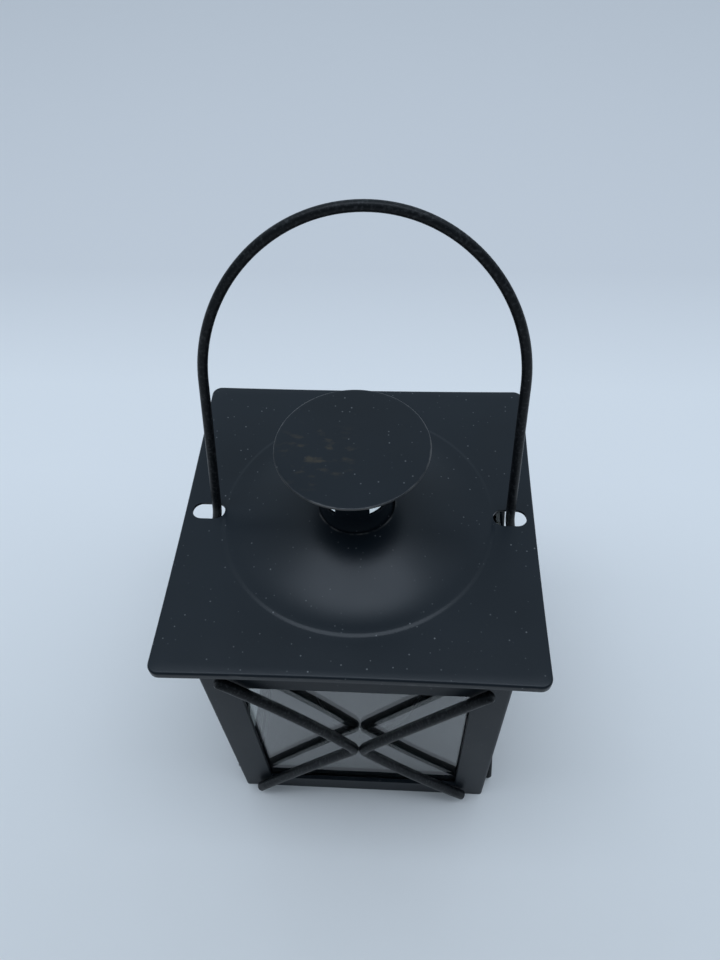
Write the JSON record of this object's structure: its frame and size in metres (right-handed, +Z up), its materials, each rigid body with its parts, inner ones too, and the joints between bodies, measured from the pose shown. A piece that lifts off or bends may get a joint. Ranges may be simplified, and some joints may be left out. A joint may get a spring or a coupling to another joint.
{
  "type": "candle lantern",
  "caption": "Square metal tealight lantern with glass sides, crossed brace rods, a loose vented roof with a capped chimney, and a tilting wire bail.",
  "frame": {"origin": "middle of the body's flat underside", "axes": "+Z up; -Y is the front, and the bail pivots about a line along X"},
  "size_m": [0.1, 0.1, 0.1944],
  "materials": {
    "painted_sheet": "satin black-blue powder coat",
    "painted_wire": "satin black powder coat",
    "window_glass": "clear float glass"
  },
  "bodies": {
    "body": {"base_tray": "painted_sheet", "candle_ring": "painted_sheet", "corner_post_front_left": "painted_sheet", "corner_post_front_right": "painted_sheet", "corner_post_back_right": "painted_sheet", "corner_post_back_left": "painted_sheet", "bottom_rail_front": "painted_sheet", "bottom_rail_right": "painted_sheet", "bottom_rail_back": "painted_sheet", "bottom_rail_left": "painted_sheet", "top_rail_front": "painted_sheet", "top_rail_right": "painted_sheet", "top_rail_back": "painted_sheet", "top_rail_left": "painted_sheet", "corner_retainer_front_left": "painted_sheet", "corner_retainer_front_right": "painted_sheet", "corner_retainer_back_right": "painted_sheet", "corner_retainer_back_left": "painted_sheet", "glass_pane_front": "window_glass", "glass_pane_right": "window_glass", "glass_pane_back": "window_glass", "glass_pane_left": "window_glass", "brace_rod_front_left": "painted_wire", "brace_rod_front_right": "painted_wire", "brace_rod_right_left": "painted_wire", "brace_rod_right_right": "painted_wire", "brace_rod_back_left": "painted_wire", "brace_rod_back_right": "painted_wire", "brace_rod_left_left": "painted_wire", "brace_rod_left_right": "painted_wire"},
    "lid": {"roof_plate": "painted_sheet", "chimney_collar": "painted_sheet", "cap_disc": "painted_sheet"},
    "handle": {"bail_handle": "painted_wire"}
  },
  "joints": [
    {"name": "lid_lift", "type": "slide", "parent": "body", "child": "lid", "axis": [0.049, 0.1888, 0.9808], "range_m": [0, 0.036]},
    {"name": "handle_tilt", "type": "hinge", "parent": "body", "child": "handle", "pos_m": [0, 0, 0.0915], "axis": [-1, 0, 0], "range_deg": [-2.4, 0]}
  ]
}
